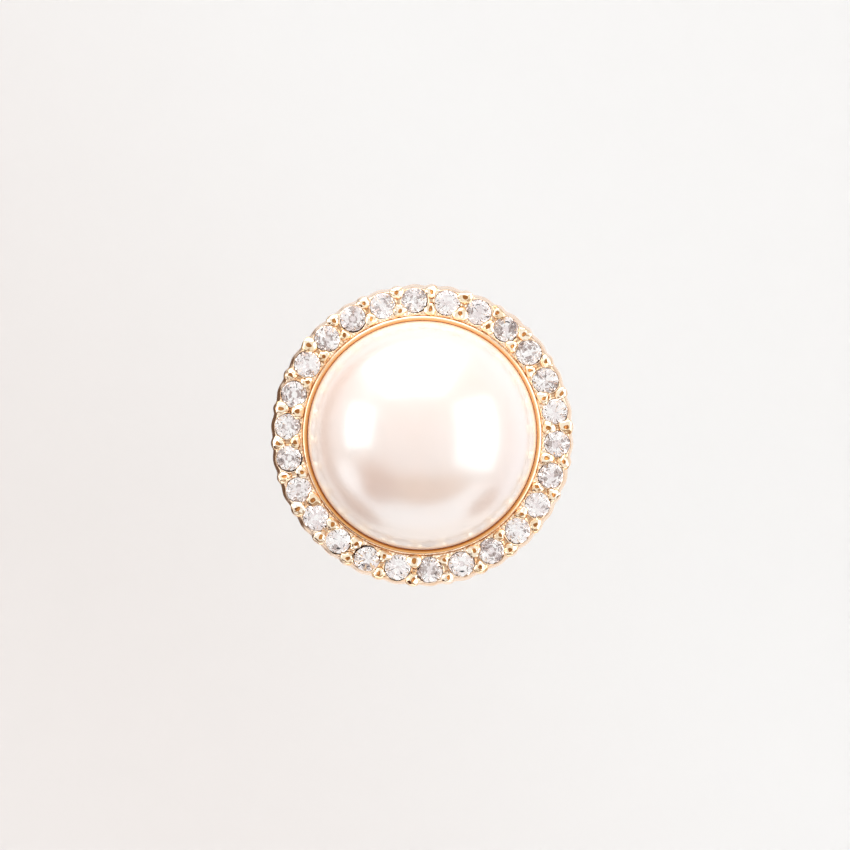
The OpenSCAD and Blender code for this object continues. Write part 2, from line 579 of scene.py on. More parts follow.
@dataclass
class Draft:
    """Points and faces of a mesh in the making, in millimetres of the face frame."""

    points: list[Point] = field(default_factory=list)
    faces: list[tuple[int, ...]] = field(default_factory=list)
    second: list[bool] = field(default_factory=list)

    def row(self, points: Sequence[Point]) -> list[int]:
        """Adds points and gives their numbers."""
        self.points.extend(points)
        return list(range(len(self.points) - len(points), len(self.points)))

    def face(self, *corners: int, second: bool = False) -> None:
        """Adds one face, in the piece's second finish or its first."""
        self.faces.append(corners)
        self.second.append(second)

    def bridge(
        self, first: Sequence[int], last: Sequence[int], closed: bool = True, second: bool = False
    ) -> None:
        """Joins two rows of the same length by quads.

        Args:
            first: Point numbers of one row.
            last: Point numbers of the next row.
            closed: Whether the rows are rings.
            second: Whether the faces have the second finish.
        """
        count = len(first)
        for k in range(count if closed else count - 1):
            n = (k + 1) % count
            self.face(first[k], first[n], last[n], last[k], second=second)

    def fan(self, row: Sequence[int], tip: Point, closed: bool = True, second: bool = False) -> None:
        """Joins a row to one new point by triangles.

        Args:
            row: Point numbers of the row.
            tip: Place of the point.
            closed: Whether the row is a ring.
            second: Whether the faces have the second finish.
        """
        end = self.row([tip])[0]
        for k in range(len(row) if closed else len(row) - 1):
            self.face(row[k], row[(k + 1) % len(row)], end, second=second)

    def loft(
        self, rows: Sequence[Sequence[Point]], top: Point, foot: Point | None, second: int = 0
    ) -> None:
        """Adds a round skin from its top to its foot.

        Args:
            rows: The points of each row.
            top: The point over the first row.
            foot: The point under the last row, which stays open where there is none.
            second: How many rows from the top have the second finish.
        """
        numbers = [self.row(row) for row in rows]
        self.fan(numbers[0], top, second=second > 0)
        for k in range(1, len(rows)):
            self.bridge(numbers[k], numbers[k - 1], second=k < second)
        if foot:
            self.fan(numbers[-1][::-1], foot)

    def build(self, name: str, place: Matrix | None = None) -> Object:
        """Makes the object.

        Args:
            name: Its name.
            place: Turn and shift from the face frame, in metres, or none.

        Returns:
            An object at the origin with its place in its mesh.
        """
        mesh = bpy.data.meshes.new(name)
        mesh.from_pydata([Vector(p) * MM for p in self.points], [], self.faces)
        if any(self.second):
            mark = mesh.attributes.new(SECOND, "BOOLEAN", "FACE")
            mark.data.foreach_set("value", self.second)
        if place is not None:
            mesh.transform(place)
        mesh.update()
        return place_in_scene(name, mesh)


def place_in_scene(name: str, data: ID) -> Object:
    """Adds an object to the scene, at the origin.

    Args:
        name: Its name.
        data: Its mesh, light or camera.

    Returns:
        The object.
    """
    made = bpy.data.objects.new(name, data)
    bpy.context.scene.collection.objects.link(made)
    return made


def smoothed(mesh: Mesh, smooth: bool = True) -> None:
    """Shades all the faces of a mesh as one surface, or each as a flat facet."""
    mesh.polygons.foreach_set("use_smooth", [smooth] * len(mesh.polygons))


def settle(piece: Object, smooth: bool = True) -> None:
    """Turns a piece with modifiers into a plain closed mesh whose faces point outwards.

    Args:
        piece: The object.
        smooth: Whether its faces are shaded as one surface.
    """
    depsgraph = bpy.context.evaluated_depsgraph_get()
    mesh = bpy.data.meshes.new_from_object(piece.evaluated_get(depsgraph))
    piece.modifiers.clear()
    piece.data = mesh
    work = bmesh.new()
    work.from_mesh(mesh)
    bmesh.ops.recalc_face_normals(work, faces=work.faces)
    work.to_mesh(mesh)
    work.free()
    smoothed(mesh, smooth)
    mesh.update()


def hand_over(piece: Object, slot: Slot, nodes: Sequence[str] = ()) -> None:
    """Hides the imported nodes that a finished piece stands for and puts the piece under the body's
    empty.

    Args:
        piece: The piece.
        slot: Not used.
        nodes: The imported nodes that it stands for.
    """
    if nodes:
        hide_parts(*nodes)
    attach(piece, BODY)
    log.info("%s: %d faces", piece.name, len(piece.data.polygons))


@dataclass(frozen=True)
class FaceFrame:
    """Where the face lies in the part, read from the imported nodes."""

    thickness: float = 2.4

    @property
    def y(self) -> float:
        """Y of the face's plane in metres."""
        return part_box("setting")[1].y - self.thickness * MM

    @property
    def first_angle(self) -> float:
        """Angle of the first stone in degrees."""
        low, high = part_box("stone_01")
        return math.degrees(math.atan2(low.z + high.z, low.x + high.x))

    def matrix(self) -> Matrix:
        """Turn and shift from the face frame, both in metres."""
        return Matrix.Translation((0.0, self.y, 0.0)) @ Matrix.Rotation(math.pi / 2.0, 4, "X")


@dataclass(frozen=True)
class RingLayout:
    """How a shape is repeated round the face, offset in degrees, and how unevenly."""

    count: int
    circle: float = 0.0
    offset: float = 0.0
    turn: float = 0.0
    lean: float = 0.0
    shift: float = 0.0
    growth: float = 0.0
    wobble: float = 0.0
    wobble_grain: float = 0.8
    seed: int = 1

    def inputs(self, face: FaceFrame) -> dict[str, int | float]:
        """Gives the ring pattern's inputs.

        Args:
            face: Where the face lies.

        Returns:
            Their values by name, in metres and radians.
        """
        return {
            "Count": self.count,
            "Face Depth": face.y,
            "First Angle": math.radians(face.first_angle + self.offset),
            "Circle": self.circle * MM,
            "Turn": math.radians(self.turn),
            "Lean": math.radians(self.lean),
            "Shift": self.shift * MM,
            "Growth": self.growth,
            "Wobble": self.wobble * MM,
            "Wobble Grain": 1.0 / (self.wobble_grain * MM),
            "Drift": DRIFT * MM,
            "Seed": self.seed,
        }


class Draw(Enum):
    """Random draws of a ring; each adds its number to the seed and so draws anew."""

    NUDGE = 1
    LEAN = 2
    GROWTH = 3
    TURN = 4
    LUCK = 5


class RingPattern:
    """Geometry node tree that repeats a mesh round the axis of the face.

    Lengths in the tree are metres. Points move less and less towards the pearl, over the
    radii of EVEN, and towards the back, over the heights of FIRM.
    """

    DRIFT_WAVES = 330.0
    EVEN = (9.35 * MM, 9.75 * MM)
    FIRM = (-2.0 * MM, -0.6 * MM)

    def __init__(self, face: FaceFrame) -> None:
        """Builds the tree.

        Args:
            face: Where the face lies.
        """
        self.face = face
        self.tree = bpy.data.node_groups.new("ring_pattern", "GeometryNodeTree")
        self.graph = Graph(self.tree)
        kinds = {
            name: "Int" if isinstance(value, int) else "Float"
            for name, value in RingLayout(1).inputs(face).items()
        }
        kinds |= {"Finish": "Material", "Second Finish": "Material"}
        self.keys = {
            name: self._socket("INPUT", name, kind)
            for name, kind in ({"Geometry": "Geometry"} | kinds).items()
        }
        self._socket("OUTPUT", "Geometry", "Geometry")
        self._lay_out()

    def _socket(self, way: str, name: str, kind: str) -> str:
        """Adds an input or output to the tree and gives its identifier."""
        made = self.tree.interface.new_socket(name, in_out=way, socket_type="NodeSocket" + kind)
        return made.identifier

    def _given(self, name: str) -> Value:
        """One of the tree's own inputs, by name."""
        return self.graph.add("NodeGroupInput", out=name)

    def _seed(self, draw: Draw) -> Value:
        """The seed of one random draw."""
        return self._given("Seed") + float(draw.value)

    def _spread(self, draw: Draw, size: Value, most: Point) -> Value:
        """A random vector for each copy.

        Args:
            draw: What the vector is for.
            size: Factor on the vector.
            most: Largest vector before the factor; the smallest is its opposite.

        Returns:
            The vector.
        """
        least = tuple(-part for part in most)
        sockets = {0: least, 1: most, "Seed": self._seed(draw)}
        kind = {"data_type": "FLOAT_VECTOR"}
        drawn = self.graph.add("FunctionNodeRandomValue", kind, sockets)
        return self.graph.vector("SCALE", drawn, size)

    def _vector(self, x: Any, y: Any, z: Any) -> Value:
        """A vector from its three parts."""
        return self.graph.add("ShaderNodeCombineXYZ", {}, {0: x, 1: y, 2: z})

    def _lay_out(self) -> None:
        """Adds the nodes from the input to the output."""
        graph = self.graph
        count, circle = self._given("Count"), self._given("Circle")
        angle = graph.add("GeometryNodeInputIndex") * math.tau / count + self._given("First Angle")
        spot = self._vector(angle.cos() * circle, angle.sin() * circle, 0.0)
        sockets = {"Seed": self._seed(Draw.LUCK)}
        luck = graph.add("FunctionNodeRandomValue", {"data_type": "FLOAT"}, sockets, 1)
        shift = self._given("Shift") * luck * luck
        spot = graph.vector("ADD", spot, self._spread(Draw.NUDGE, shift, (1.0, 1.0, 0.6)))
        lean = self._spread(Draw.LEAN, self._given("Lean"), (1.0, 1.0, 0.0))
        growth = self._spread(Draw.GROWTH, self._given("Growth"), (1.0, 1.0, 1.0))
        copies = graph.add(
            "GeometryNodeInstanceOnPoints",
            {},
            {
                "Points": graph.add("GeometryNodePoints", {}, {"Count": count, "Position": spot}),
                "Instance": self._given("Geometry"),
                "Rotation": graph.vector("ADD", lean, self._vector(0.0, 0.0, angle)),
                "Scale": graph.vector("ADD", growth, (1.0, 1.0, 1.0)),
            },
        )
        turn = self._spread(Draw.TURN, self._given("Turn"), (0.0, 0.0, 1.0))
        sockets = {"Instances": copies, "Rotation": turn}
        copies = graph.add("GeometryNodeRotateInstances", {}, sockets)
        mesh = graph.add("GeometryNodeRealizeInstances", {}, {"Geometry": copies})
        mesh = graph.add("GeometryNodeMergeByDistance", {}, {"Geometry": mesh, "Distance": MERGE})
        mesh = graph.add(
            "GeometryNodeTransform",
            {},
            {
                "Geometry": self._wobbled(mesh),
                "Translation": self._vector(0.0, self._given("Face Depth"), 0.0),
                "Rotation": (math.pi / 2.0, 0.0, 0.0),
            },
        )
        sockets = {"Geometry": mesh, "Material": self._given("Finish")}
        mesh = graph.add("GeometryNodeSetMaterial", {}, sockets)
        kind = {"data_type": "BOOLEAN"}
        marked = graph.add("GeometryNodeInputNamedAttribute", kind, {"Name": SECOND})
        sockets = {"Geometry": mesh, "Selection": marked, "Material": self._given("Second Finish")}
        graph.add("NodeGroupOutput", {}, {0: graph.add("GeometryNodeSetMaterial", {}, sockets)})

    def _wobbled(self, mesh: Value) -> Value:
        """Moves the points a little.

        Args:
            mesh: The mesh.

        Returns:
            The mesh with hand-finished unevenness.
        """
        graph = self.graph
        where = graph.add("GeometryNodeInputPosition")
        share = graph.axis(where, "Z").eased(*self.FIRM)
        share = share * graph.radius(where, "XY").eased(*self.EVEN)
        ripple = self._waves(where, self._given("Wobble Grain"), self._given("Wobble") * share)
        drift = self._waves(where, self.DRIFT_WAVES, self._given("Drift") * share)
        offset = graph.vector("ADD", ripple, graph.vector("MULTIPLY", drift, (1.0, 1.0, 0.0)))
        return graph.add("GeometryNodeSetPosition", {}, {"Geometry": mesh, "Offset": offset})

    def _waves(self, where: Value, scale: Any, size: Value) -> Value:
        """A smooth random vector field.

        Args:
            where: Place in metres.
            scale: Waves per metre.
            size: Length of the vectors in metres.

        Returns:
            The vector at the place.
        """
        sockets = {"Vector": where, "Scale": scale, "Detail": 1.0}
        waves = self.graph.add("ShaderNodeTexNoise", {}, sockets, "Color")
        waves = self.graph.vector("SUBTRACT", waves, (0.5, 0.5, 0.5))
        return self.graph.vector("SCALE", waves, size)

    def apply(
        self,
        piece: Object,
        layout: RingLayout,
        finish: Material,
        second: Material,
        smooth: bool = True,
    ) -> None:
        """Repeats a piece's mesh round the face and makes the result plain.

        Args:
            piece: Object whose mesh is one copy, in metres of the face frame.
            layout: How it is repeated.
            finish: Its material.
            second: Material of the faces that are marked for the second finish.
            smooth: Whether the result is shaded as one surface.
        """
        modifier = piece.modifiers.new("ring", "NODES")
        modifier.node_group = self.tree
        finishes = {"Finish": finish, "Second Finish": second}
        for name, value in (layout.inputs(self.face) | finishes).items():
            modifier[self.keys[name]] = value
        settle(piece, smooth)


# Sub-assemblies


@dataclass(frozen=True)
class Swell:
    """A soft swell of the face, or a groove where its height is negative."""

    height: float
    place: float
    width: float

    def at(self, distance: float) -> float:
        """Its height at a distance from the line that its place is measured from."""
        return self.height * hump(distance - self.place, self.width)


@dataclass(frozen=True)
class Setting:
    """The plated ring: seats, ledge, bezel, scalloped wall, rim and closed back.

    Each row of the wall is its height, how far it stands out past the face's outline and the
    size of the fillets in its notches. Each row of the seat is its share of the seat's width
    and its height.
    """

    count: int = 26
    stone_circle: float = 10.53
    seat: float = 1.015
    seat_round: float = 0.03
    seat_rows: tuple[Pair, ...] = ((1.0, -0.27), (0.55, -0.72), (0.12, -1.27))
    bezel: float = 9.33
    bezel_round: float = 0.205
    bezel_top: float = 0.31
    bezel_foot: float = 0.02
    bezel_steps: int = 11
    cup: float = 9.008
    cup_heights: tuple[float, ...] = (0.06, -0.3, -0.7, -1.0)
    cup_floor: float = -1.45
    cup_radii: tuple[float, ...] = (8.0, 4.0, 0.0)
    wall: float = 11.5
    lobe: float = 1.075
    rib: float = 0.46
    rib_circle: float = 11.19
    fillet: float = 0.03
    edge: float = 0.1
    wall_rows: tuple[tuple[float, float, float], ...] = (
        (-0.18, 0.03, 0.03),
        (-0.36, 0.08, 0.04),
        (-0.6, 0.14, 0.06),
        (-0.85, 0.19, 0.09),
        (-1.1, 0.235, 0.12),
        (-1.35, 0.265, 0.15),
        (-1.55, 0.28, 0.17),
        (-1.68, 0.29, 0.18),
        (-1.76, 0.32, 0.19),
        (-1.84, 0.34, 0.2),
        (-2.04, 0.34, 0.2),
        (-2.24, 0.34, 0.2),
        (-2.33, 0.315, 0.2),
        (-2.385, 0.25, 0.2),
        (-2.4, 0.15, 0.2),
    )
    back_radii: tuple[float, ...] = (11.3, 10.0, 8.0, 4.0, 0.0)
    groove: Swell = Swell(-0.08, 0.01, 0.035)
    seat_lip: Swell = Swell(0.03, 0.07, 0.035)
    edge_lip: Swell = Swell(0.02, 0.1, 0.05)
    web: Swell = Swell(-0.16, 0.1, 0.42)
    web_width: float = 0.3
    bead_foot: Swell = Swell(0.13, 0.0, 0.45)
    bead_circles: Pair = (11.27, 9.86)
    ridge: Swell = Swell(0.03, 0.2, 0.1)
    ridges: int = 8
    side_steps: int = 14
    arc_steps: int = 40
    rings: int = 14

    @property
    def half(self) -> float:
        """Half of the angle between two stones, in radians."""
        return math.pi / self.count

    def outline(self, angle: float, fillet: float) -> float:
        """Radius of the scalloped edge at an angle from the stone.

        Args:
            angle: Angle from the stone, in radians.
            fillet: Size of the fillets in the notches.

        Returns:
            The radius.
        """
        side = self.stone_circle * math.sin(angle)
        cup = self.stone_circle * math.cos(angle) + math.sqrt(max(0.0, self.lobe**2 - side**2))
        off = self.half - abs(angle)
        side = self.rib_circle * math.sin(off)
        post = self.rib_circle * math.cos(off) + math.sqrt(max(0.0, self.rib**2 - side**2))
        return soft_max(soft_max(self.wall, cup, fillet), post, fillet) - fillet / 2.0

    def relief(self, radius: float, angle: float) -> float:
        """Height of the face between the seats.

        Args:
            radius: Distance from the axis.
            angle: Angle from the stone, in radians.

        Returns:
            Height above the plain face, negative in grooves.
        """
        spot, side_spot = polar(radius, angle), polar(radius, abs(angle))
        from_seat = math.dist(spot, (self.stone_circle, 0.0, 0.0)) - self.seat
        from_edge = self.outline(angle, self.fillet) - radius
        from_bezel = radius - self.bezel
        from_web = radius * math.sin(self.half - abs(angle))
        height = self.groove.at(from_bezel)
        height += self.seat_lip.at(from_seat)
        height += self.edge_lip.at(from_edge)
        height += self.web.at(radius - self.stone_circle) * hump(from_web, self.web_width)
        for circle in self.bead_circles:
            height += self.bead_foot.at(math.dist(side_spot, polar(circle, self.half)))
        height += math.cos(angle * self.count * self.ridges) * self.ridge.at(from_bezel)
        height -= rounding(from_seat, self.seat_round)
        return height - rounding(from_edge, self.edge)

    def _boundary(self) -> list[Pair]:
        """Outlines one stone's share of the face.

        Returns:
            Radius and angle of each point round it.
        """
        half, steps = self.half, self.side_steps
        corner = self.outline(half, self.fillet)
        arc = [-half + 2.0 * half * k / self.arc_steps for k in range(self.arc_steps + 1)]
        down = [corner + (self.bezel - corner) * gathered(k, steps) for k in range(1, steps)]
        return (
            [(self.outline(a, self.fillet), a) for a in arc]
            + [(r, half) for r in down]
            + [(self.bezel, -a) for a in arc]
            + [(r, -half) for r in reversed(down)]
        )

    def _face(self, draft: Draft) -> tuple[list[int], list[int], list[int]]:
        """Adds the face round one seat.

        Args:
            draft: The mesh in the making.

        Returns:
            The rows at the seat, at the outer edge and at the bezel.
        """
        middle = self.stone_circle
        boundary = self._boundary()
        rows: list[list[int]] = []
        for j in range(self.rings + 1):
            t = gathered(j, self.rings)
            points = []
            for radius, angle in boundary:
                x, y, _ = polar(radius, angle)
                way = math.atan2(y, x - middle)
                px = (middle + self.seat * math.cos(way)) * (1.0 - t) + x * t
                py = self.seat * math.sin(way) * (1.0 - t) + y * t
                points.append((px, py, self.relief(math.hypot(px, py), math.atan2(py, px))))
            rows.append(draft.row(points))
            if j:
                draft.bridge(rows[-2], rows[-1])
        start, count = self.arc_steps + self.side_steps, self.arc_steps + 1
        return rows[0], rows[-1][:count], rows[-1][start : start + count]

    def _seat(self, draft: Draft, rim: list[int]) -> None:
        """Adds the hole of one stone below its rim.

        Args:
            draft: The mesh in the making.
            rim: The row at the seat.
        """
        middle = self.stone_circle
        previous = rim
        for share, height in self.seat_rows:
            points = []
            for number in rim:
                x, y, _ = draft.points[number]
                points.append((middle + (x - middle) * share, y * share, height))
            row = draft.row(points)
            draft.bridge(row, previous, second=True)
            previous = row
        draft.fan(previous[::-1], (middle, 0.0, self.seat_rows[-1][1]), second=True)

    def _strip(self, draft: Draft, start: list[int], profile: list[tuple[float, Any]]) -> None:
        """Adds a turned strip from a row of the face to the axis.

        Args:
            draft: The mesh in the making.
            start: The row that it starts from.
            profile: For each further row, a height and a radius or a function of the angle.
        """
        angles = [math.atan2(draft.points[n][1], draft.points[n][0]) for n in start]
        previous = start
        for height, radius in profile[:-1]:
            reaches = [radius(a) if callable(radius) else radius for a in angles]
            row = draft.row([polar(reach, a, height) for reach, a in zip(reaches, angles)])
            draft.bridge(previous, row, closed=False)
            previous = row
        draft.fan(previous, (0.0, 0.0, profile[-1][0]), closed=False)

    def _wall_profile(self) -> list[tuple[float, Any]]:
        """Shapes the outer wall, the rim and the back.

        Returns:
            Height and radius of each row, from the face's edge to the axis.
        """
        rows: list[tuple[float, Any]] = [
            (height, lambda a, out=out, fillet=fillet: self.outline(a, fillet) + out)
            for height, out, fillet in self.wall_rows
        ]
        return rows + [(self.wall_rows[-1][0], radius) for radius in self.back_radii]

    def _bezel_profile(self) -> list[tuple[float, Any]]:
        """Shapes the bezel and the cup.

        Returns:
            Height and radius of each row, from the bezel's foot to the axis.
        """
        middle = self.bezel - self.bezel_round
        level = self.bezel_top - self.bezel_round
        rows: list[tuple[float, Any]] = [(self.bezel_foot, self.bezel), (level, self.bezel)]
        for k in range(1, self.bezel_steps):
            x, y, _ = polar(self.bezel_round, math.pi * k / self.bezel_steps)
            rows.append((level + y, middle + x))
        for height in self.cup_heights:
            off = height - self.cup_heights[-1]
            rows.append((height, math.sqrt(self.cup**2 - off**2)))
        return rows + [(self.cup_floor, radius) for radius in (self.cup, *self.cup_radii)]

    def build(self, ring: RingPattern, gold: GoldPlate, seat_shade_gold: GoldPlate) -> None:
        """Makes the ring from one stone's share of it.

        Args:
            ring: The tree that repeats the share.
            gold: Its finish.
            seat_shade_gold: Finish of the seats under the stones, a darker, warmer gold painted as
                shade in the gaps round the stones.
        """
        draft = Draft()
        seat_row, outer, inner = self._face(draft)
        self._seat(draft, seat_row)
        self._strip(draft, outer, self._wall_profile())
        self._strip(draft, inner, self._bezel_profile())
        piece = draft.build("setting_ring")
        layout = RingLayout(self.count, wobble=0.12, wobble_grain=0.9)
        # Painted shade: the seats under the stones take a darker, warmer gold.
        ring.apply(piece, layout, gold.material(), seat_shade_gold.material())
        hand_over(piece, Slot.SETTING, ["setting"])


@dataclass(frozen=True)
class BeadRow:
    """Small three-sided domes with a pit, which hold the stones, one between each two.

    Size is the radius of a bead, corner how much its three sides show, across its width for
    its length, and base the height of its widest row. Dimple, pit and pinch are the depth and
    the width of the pit and how narrow the bead is there, as shares of its size, and pressed
    is how many rows lie in the pit. Each row of the foot is its share of the size and its
    level.
    """

    name: str
    circle: float
    size: float
    corner: float
    across: float
    height: float
    seed: int
    base: float = -0.03
    dimple: float = 0.18
    pit: float = 0.31
    pressed: int = 4
    pinch: float = 0.42
    foot_rows: tuple[Pair, ...] = ((0.98, -0.5), (0.5, -0.8))
    count: int = 26
    segments: int = 30
    rows: int = 16

    def _dome(self) -> list[Pair]:
        """Shapes the dome and its foot.

        Returns:
            Reach and level of each row, from the top down.
        """
        rows = []
        for k in range(1, self.rows + 1):
            level, reach, _ = polar(1.0, math.pi / 2.0 * k / self.rows)
            rows.append((reach, level - self.dimple * hump(reach, self.pit)))
        return rows + list(self.foot_rows)

    def _bead(self) -> Draft:
        """Shapes one bead.

        Returns:
            The bead, whose pit has the second finish.
        """
        rows: list[list[Point]] = []
        for reach, level in self._dome():
            pinch = 1.0 - self.pinch * hump(reach, 2.0 * self.pit)
            rows.append([])
            for k in range(self.segments):
                angle = math.tau * k / self.segments
                radius = self.size * (1.0 + self.corner * math.cos(3.0 * angle) * reach) * reach
                x, y, _ = polar(radius, angle)
                rows[-1].append((x, y * self.across * pinch, self.base + self.height * level))
        top, under = (
            (0.0, 0.0, self.base + self.height * level)
            for level in (1.0 - self.dimple, self.foot_rows[-1][1])
        )
        draft = Draft()
        draft.loft(rows, top, under, self.pressed)
        return draft

    def build(self, ring: RingPattern, finish: Material, pit_finish: Material) -> None:
        """Makes the row of beads.

        Args:
            ring: The tree that repeats a bead.
            finish: Its material.
            pit_finish: Material of the pit that the setting tool left, painted dark brown as the
                pit's shade and dark reflection.
        """
        piece = self._bead().build(self.name)
        layout = RingLayout(
            self.count,
            self.circle,
            offset=180.0 / self.count,
            turn=20.0,
            lean=9.0,
            shift=0.06,
            growth=0.15,
            wobble=0.25,
            wobble_grain=0.45,
            seed=self.seed,
        )
        ring.apply(piece, layout, finish, pit_finish)
        hand_over(piece, Slot.SETTING)


@dataclass(frozen=True)
class CutStones:
    """The ring of foil-backed brilliants, each with its girdle just below the face.

    Crown, belt and pavilion are heights of the three parts of a stone. Table, star and lower
    are radii of its facets' corners.
    """

    count: int = 26
    circle: float = 10.53
    girdle: float = -0.06
    radius: float = 1.0
    belt: float = 0.1
    crown: float = 0.34
    pavilion: float = 1.0
    table: float = 0.62
    star: float = 0.8
    lower: float = 0.66
    sides: int = 8

    def _facet(self, radius: float, inner: Pair, outer: Pair) -> float:
        """Height at a radius, half a step round, on a facet between two radii and heights."""
        share = (radius * math.cos(math.pi / self.sides) - inner[0]) / (outer[0] - inner[0])
        return inner[1] + (outer[1] - inner[1]) * share

    def _brilliant(self) -> Draft:
        """Cuts one stone: table, stars, kites and halves over a belt and a foiled pavilion.

        Returns:
            The stone, whose belt and pavilion have the second finish.
        """
        sides, belts, half = self.sides, 2 * self.sides, math.pi / self.sides
        base, belt = self.girdle, self.girdle - self.belt
        top_z, tip_z = base + self.crown, belt - self.pavilion
        star_z = self._facet(self.star, (self.table, top_z), (self.radius, base))
        lower_z = self._facet(self.lower, (self.radius, belt), (0.0, tip_z))
        draft = Draft()
        table = draft.row(circle_points(self.table, sides, top_z))
        star = draft.row(circle_points(self.star, sides, star_z, half))
        top = draft.row(circle_points(self.radius, belts, base))
        under = draft.row(circle_points(self.radius, belts, belt))
        lower = draft.row(circle_points(self.lower, sides, lower_z, half))
        culet = draft.row([(0.0, 0.0, tip_z)])[0]
        draft.face(*table)
        for k in range(sides):
            first, middle, last = 2 * k, 2 * k + 1, (2 * k + 2) % belts
            draft.face(table[k], star[k], table[(k + 1) % sides])
            draft.face(table[k], star[k - 1], top[first], star[k])
            draft.face(star[k], top[first], top[middle])
            draft.face(star[k], top[middle], top[last])
            draft.face(lower[k], under[middle], under[first], second=True)
            draft.face(lower[k], under[last], under[middle], second=True)
            draft.face(culet, lower[k], under[first], lower[k - 1], second=True)
        draft.bridge(under, top, second=True)
        return draft

    def build(self, ring: RingPattern, glass: CutGlass, foil: SilverFoil) -> None:
        """Makes the stones.

        Args:
            ring: The tree that repeats a stone.
            glass: Finish of the cut glass.
            foil: Finish of the foil behind it.
        """
        piece = self._brilliant().build("cut_stones")
        layout = RingLayout(self.count, self.circle, turn=22.0, lean=3.6, shift=0.1, seed=7)
        ring.apply(piece, layout, glass.material(), foil.material(), smooth=False)
        hand_over(piece, Slot.STONE, STONE_NODES)


@dataclass(frozen=True)
class HalfPearl:
    """The half-round pearl: a dome whose flat back has a rounded edge."""

    radius: float = 9.0
    sink: float = 1.0
    skirt: float = 0.4
    back_round: float = 0.15
    back_steps: int = 4
    back_rows: Pair = (0.6, 0.2)
    segments: int = 144
    rings: int = 60

    def _profile(self) -> list[Pair]:
        """Shapes the dome and the back.

        Returns:
            Radius and height of each row, from near the tip to near the back's middle.
        """
        low = self.back_round - self.skirt
        bottom = math.pi / 2.0 + math.asin(-low / self.radius)
        rows = []
        for k in range(1, self.rings + 1):
            level, reach, _ = polar(self.radius, bottom * k / self.rings)
            rows.append((reach, level))
        edge = rows[-1][0] - self.back_round
        for k in range(1, self.back_steps + 1):
            out, down, _ = polar(self.back_round, math.pi / 2.0 * k / self.back_steps)
            rows.append((edge + out, low - down))
        return rows + [(edge * share, -self.skirt) for share in self.back_rows]

    def build(self, face: FaceFrame, coat: PearlCoat) -> None:
        """Makes the pearl.

        Args:
            face: Where the face lies.
            coat: Its finish.
        """
        rows = [circle_points(r, self.segments, z - self.sink) for r, z in self._profile()]
        tip, back = self.radius - self.sink, -self.skirt - self.sink
        draft = Draft()
        draft.loft(rows, (0.0, 0.0, tip), (0.0, 0.0, back))
        piece = draft.build("half_pearl", face.matrix())
        piece.data.materials.append(coat.material())
        settle(piece)
        hand_over(piece, Slot.PEARL, ["pearl"])


@dataclass(frozen=True)
class EarClip:
    """The spring clip behind the setting, its sheet's edges rounded."""

    edge: float = 0.14
    steps: int = 3
    flat_angle: float = 1.0
    sharp_angle: float = 40.0

    def build(self, gold: GoldPlate) -> None:
        """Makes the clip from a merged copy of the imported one.

        Args:
            gold: Its finish.
        """
        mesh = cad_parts["ear_clip"].data.copy()
        mesh.materials.clear()
        mesh.materials.append(gold.material())
        work = bmesh.new()
        work.from_mesh(mesh)
        bmesh.ops.remove_doubles(work, verts=work.verts, dist=MERGE)
        flat = math.radians(self.flat_angle)
        bmesh.ops.dissolve_limit(work, angle_limit=flat, verts=work.verts, edges=work.edges)
        work.to_mesh(mesh)
        work.free()
        smoothed(mesh)
        piece = place_in_scene("spring_clip", mesh)
        bevel = piece.modifiers.new("edges", "BEVEL")
        bevel.width = self.edge * MM
        bevel.segments = self.steps
        bevel.limit_method = "ANGLE"
        bevel.angle_limit = math.radians(self.sharp_angle)
        bevel.harden_normals = True
        settle(piece)
        hand_over(piece, Slot.CLIP, ["ear_clip"])


# Studio


@dataclass(frozen=True)
class SoftBox:
    """A large soft light, aimed at the face unless it hangs level, in degrees and metres."""

    name: str
    azimuth: float
    elevation: float
    distance: float
    width: float
    height: float
    brightness: float
    level: bool = False

    def build(self, target: Vector) -> None:
        """Adds the light.

        Args:
            target: The point that it is aimed at, in metres.
        """
        light = bpy.data.lights.new(self.name, "AREA")
        light.shape = "RECTANGLE"
        light.size = self.width
        light.size_y = self.height
        light.energy = self.brightness * math.pi * self.width * self.height
        lamp = place_in_scene(self.name, light)
        a, e = math.radians(self.azimuth), math.radians(self.elevation)
        way = Vector((math.sin(a) * math.cos(e), -math.cos(a) * math.cos(e), math.sin(e)))
        lamp.location = target + way * self.distance
        if not self.level:
            lamp.rotation_euler = (-way).to_track_quat("-Z", "Y").to_euler()
        lamp.visible_camera = False


RIGHT, BACK, UP = (1.0, 0.0, 0.0), (0.0, 1.0, 0.0), (0.0, 0.0, 1.0)
BROWN = (0.17, 0.1, 0.065)


@dataclass(frozen=True)
class Side:
    """A soft side of a zone: where along a direction it starts and where it is full."""

    way: Point
    start: float
    full: float
    least: float = 0.0
    most: float = 1.0

    def share(self, graph: Graph, way: Value) -> Value:
        """Share of the zone that shows at a direction, as far as this side goes."""
        along = graph.vector("DOT_PRODUCT", way, self.way)
        return along.eased(self.start, self.full, self.least, self.most)


@dataclass(frozen=True)
class Zone:
    """A part of the surroundings with its own colour, or two from front to rear."""

    colour: Colour
    sides: tuple[Side, ...]
    rear: Colour | None = None
    rear_side: Side = Side(BACK, 0.1, 0.4)

    def lay(self, graph: Graph, way: Value, tone: Value | Colour) -> Value:
        """Lays the zone over a tone.

        Args:
            graph: The graph of the surroundings.
            way: The direction that is looked in.
            tone: The colour so far.

        Returns:
            The new colour.
        """
        colour = self.colour
        if self.rear:
            colour = graph.mix(self.rear_side.share(graph, way), colour, self.rear)
        share = self.sides[0].share(graph, way)
        for side in self.sides[1:]:
            share = share * side.share(graph, way)
        return graph.mix(share, tone, colour)


